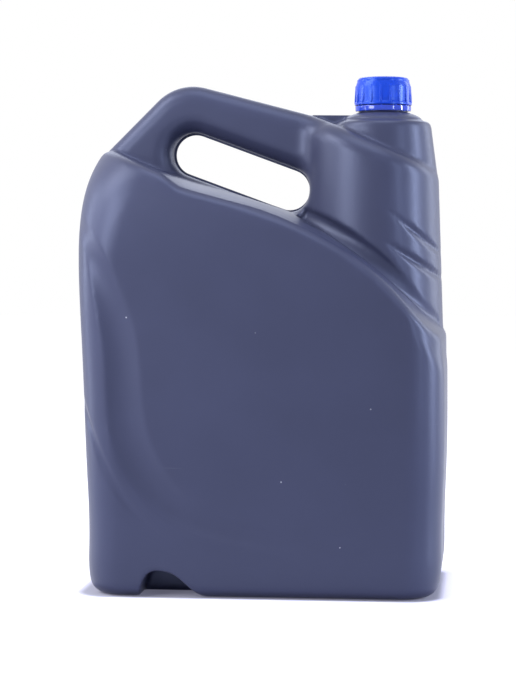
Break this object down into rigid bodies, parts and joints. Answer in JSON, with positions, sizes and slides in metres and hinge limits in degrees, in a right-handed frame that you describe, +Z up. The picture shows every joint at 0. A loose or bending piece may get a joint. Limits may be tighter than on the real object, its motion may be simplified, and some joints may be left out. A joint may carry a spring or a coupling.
{
  "type": "fluid jug",
  "caption": "Blow-moulded plastic fluid jug with a slanted moulded handle, finger pockets in the base, and a neck closed by a ribbed screw cap with a tamper ring.",
  "frame": {"origin": "on the floor, under the middle of the jug", "axes": "+Z up along the neck, +X from the handle's arm towards the neck, -Y towards the viewer, Y = 0 the mould's parting plane"},
  "size_m": [0.26, 0.1592, 0.3674],
  "materials": {
    "jug": "satin moulded polyethylene, grey blue",
    "cap": "satin injection-moulded, bright blue",
    "ring": "satin injection-moulded, bright blue",
    "liner": "soft foamed wad, off white"
  },
  "bodies": {
    "jug": {"jug_body": "jug", "tamper_ring": "ring"},
    "liner": {"cap_liner": "liner"},
    "cap": {"screw_cap": "cap"}
  },
  "joints": [
    {"name": "cap_rise", "type": "slide", "parent": "jug", "child": "liner", "axis": [0, 0, 1], "range_m": [0, 0.0081]},
    {"name": "cap_turn", "type": "hinge", "parent": "liner", "child": "cap", "pos_m": [0.08398, 0, 0.36424], "axis": [0, 0, 1], "range_deg": [0, 720]}
  ],
  "couplings": [
    {"joint": "cap_rise", "follows": "cap_turn", "m_per_rad": 0.00063662}
  ]
}
